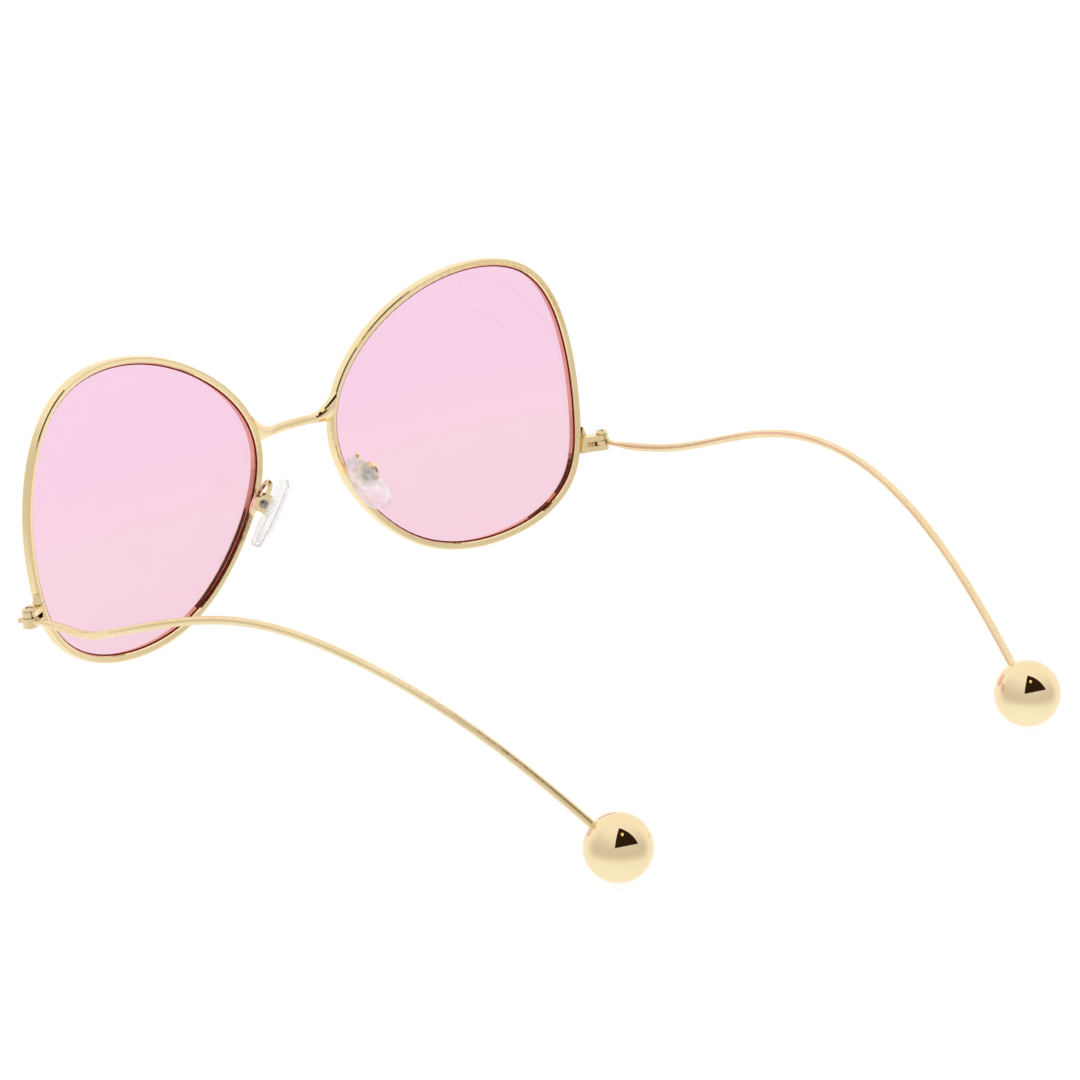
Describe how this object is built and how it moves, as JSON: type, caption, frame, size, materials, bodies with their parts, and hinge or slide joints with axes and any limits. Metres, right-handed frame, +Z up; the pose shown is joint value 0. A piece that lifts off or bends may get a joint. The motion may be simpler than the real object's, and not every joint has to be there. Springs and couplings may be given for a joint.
{
  "type": "sunglasses",
  "caption": "Wire-rimmed butterfly sunglasses with tinted drop-shaped lenses, clear nose pads and waved wire temples that end in round ball tips.",
  "frame": {"origin": "middle of the footprint, on the surface that the rims' lowest points and the ball tips stand on", "axes": "+X towards the wearer's left, +Y from the lenses back along the temples, +Z up"},
  "size_m": [0.153, 0.1497, 0.0559],
  "materials": {
    "gold_wire": "polished pale gold plating",
    "gold_ball": "polished pale gold plating",
    "gold_screw": "pale gold plated screw, cross slot",
    "dark_steel": "dark steel screw",
    "pink_lens": "clear pink tint, polished",
    "clear_plastic": "clear hard plastic, moulded into the soft pad",
    "clear_silicone": "clear soft silicone"
  },
  "bodies": {
    "front": {"rim_left": "gold_wire", "rim_right": "gold_wire", "lens_left": "pink_lens", "lens_right": "pink_lens", "bridge": "gold_wire", "hinge_bracket_left": "gold_wire", "hinge_bracket_right": "gold_wire", "closing_block_left": "gold_wire", "closing_block_right": "gold_wire", "closing_screw_left": "dark_steel", "closing_screw_right": "dark_steel", "hinge_screw_left": "gold_screw", "hinge_screw_right": "gold_screw", "pad_arm_left": "gold_wire", "pad_arm_right": "gold_wire", "pad_box_left": "gold_wire", "pad_box_right": "gold_wire", "pad_screw_left": "dark_steel", "pad_screw_right": "dark_steel"},
    "temple_left": {"temple_eye_left": "gold_wire", "temple_wire_left": "gold_wire", "ball_tip_left": "gold_ball"},
    "temple_right": {"temple_eye_right": "gold_wire", "temple_wire_right": "gold_wire", "ball_tip_right": "gold_ball"},
    "pad_left": {"pad_mount_left": "clear_plastic", "nose_pad_left": "clear_silicone"},
    "pad_right": {"pad_mount_right": "clear_plastic", "nose_pad_right": "clear_silicone"}
  },
  "joints": [
    {"name": "temple_left_fold", "type": "hinge", "parent": "front", "child": "temple_left", "pos_m": [0.07125, -0.06231, 0.01545], "axis": [0, -0.1219, 0.9925], "range_deg": [0, 80]},
    {"name": "temple_right_fold", "type": "hinge", "parent": "front", "child": "temple_right", "pos_m": [-0.07125, -0.06231, 0.01545], "axis": [0, 0.1219, -0.9925], "range_deg": [0, 70]},
    {"name": "pad_left_rock", "type": "hinge", "parent": "front", "child": "pad_left", "pos_m": [0.01314, -0.06593, 0.02219], "axis": [0.4116, 0.866, 0.2839], "range_deg": [-8, 8]},
    {"name": "pad_right_rock", "type": "hinge", "parent": "front", "child": "pad_right", "pos_m": [-0.01314, -0.06593, 0.02219], "axis": [-0.4116, 0.866, 0.2839], "range_deg": [-8, 8]}
  ]
}
